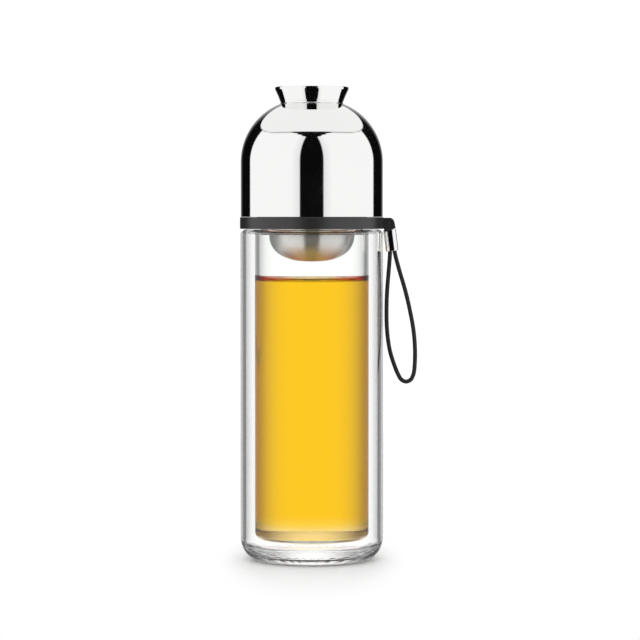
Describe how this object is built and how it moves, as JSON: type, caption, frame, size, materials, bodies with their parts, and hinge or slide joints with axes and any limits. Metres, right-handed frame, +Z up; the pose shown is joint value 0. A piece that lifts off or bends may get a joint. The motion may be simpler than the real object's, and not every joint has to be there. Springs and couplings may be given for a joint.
{
  "type": "tea infuser bottle",
  "caption": "Double-wall glass tea bottle with a screw-on steel cup lid, a tea infuser hanging in its neck and a cord strap on a swivelling ring.",
  "frame": {"origin": "centre of the flat base that the bottle stands on", "axes": "+Z up along the bottle's axis, +X towards the strap's lug; the picture looks along +Y"},
  "size_m": [0.0844, 0.0684, 0.2248],
  "materials": {
    "clear_glass": "clear blown glass, fire-polished",
    "polished_steel": "mirror-polished stainless steel",
    "satin_steel": "satin stainless steel",
    "black_plastic": "moulded black plastic, fine satin",
    "silicone": "milky food-grade silicone",
    "black_cord": "smooth black cord, matt"
  },
  "bodies": {
    "bottle": {"outer_glass": "clear_glass", "inner_glass": "clear_glass", "thread_collar": "black_plastic"},
    "strap_ring": {"strap_ring": "black_plastic", "strap_pin": "black_plastic"},
    "strap": {"strap_ferrule": "polished_steel", "strap_loop": "black_cord"},
    "lid_seal": {"lid_seal": "silicone"},
    "lid": {"lid_outer_shell": "polished_steel", "lid_inner_shell": "satin_steel", "lid_foot_ring": "polished_steel", "lid_thread_insert": "black_plastic"},
    "infuser": {"infuser_basket": "satin_steel", "infuser_gasket": "silicone"}
  },
  "joints": [
    {"name": "lid_rise", "type": "slide", "parent": "bottle", "child": "lid_seal", "axis": [0, 0, 1], "range_m": [0, 0.0481]},
    {"name": "lid_turn", "type": "hinge", "parent": "lid_seal", "child": "lid", "pos_m": [0, 0, 0.1632], "axis": [0, 0, 1], "range_deg": [0, 2160]},
    {"name": "infuser_lift", "type": "slide", "parent": "bottle", "child": "infuser", "axis": [0, 0, 1], "range_m": [0, 0.031]},
    {"name": "strap_ring_swivel", "type": "hinge", "parent": "bottle", "child": "strap_ring", "pos_m": [0, 0, 0.1602], "axis": [0, 0, 1], "continuous": true},
    {"name": "strap_swing", "type": "hinge", "parent": "strap_ring", "child": "strap", "pos_m": [0.0366, 0, 0.1602], "axis": [0, -1, 0], "range_deg": [0, 110]}
  ],
  "couplings": [
    {"joint": "lid_rise", "follows": "lid_turn", "m_per_rad": 0.0012732}
  ]
}
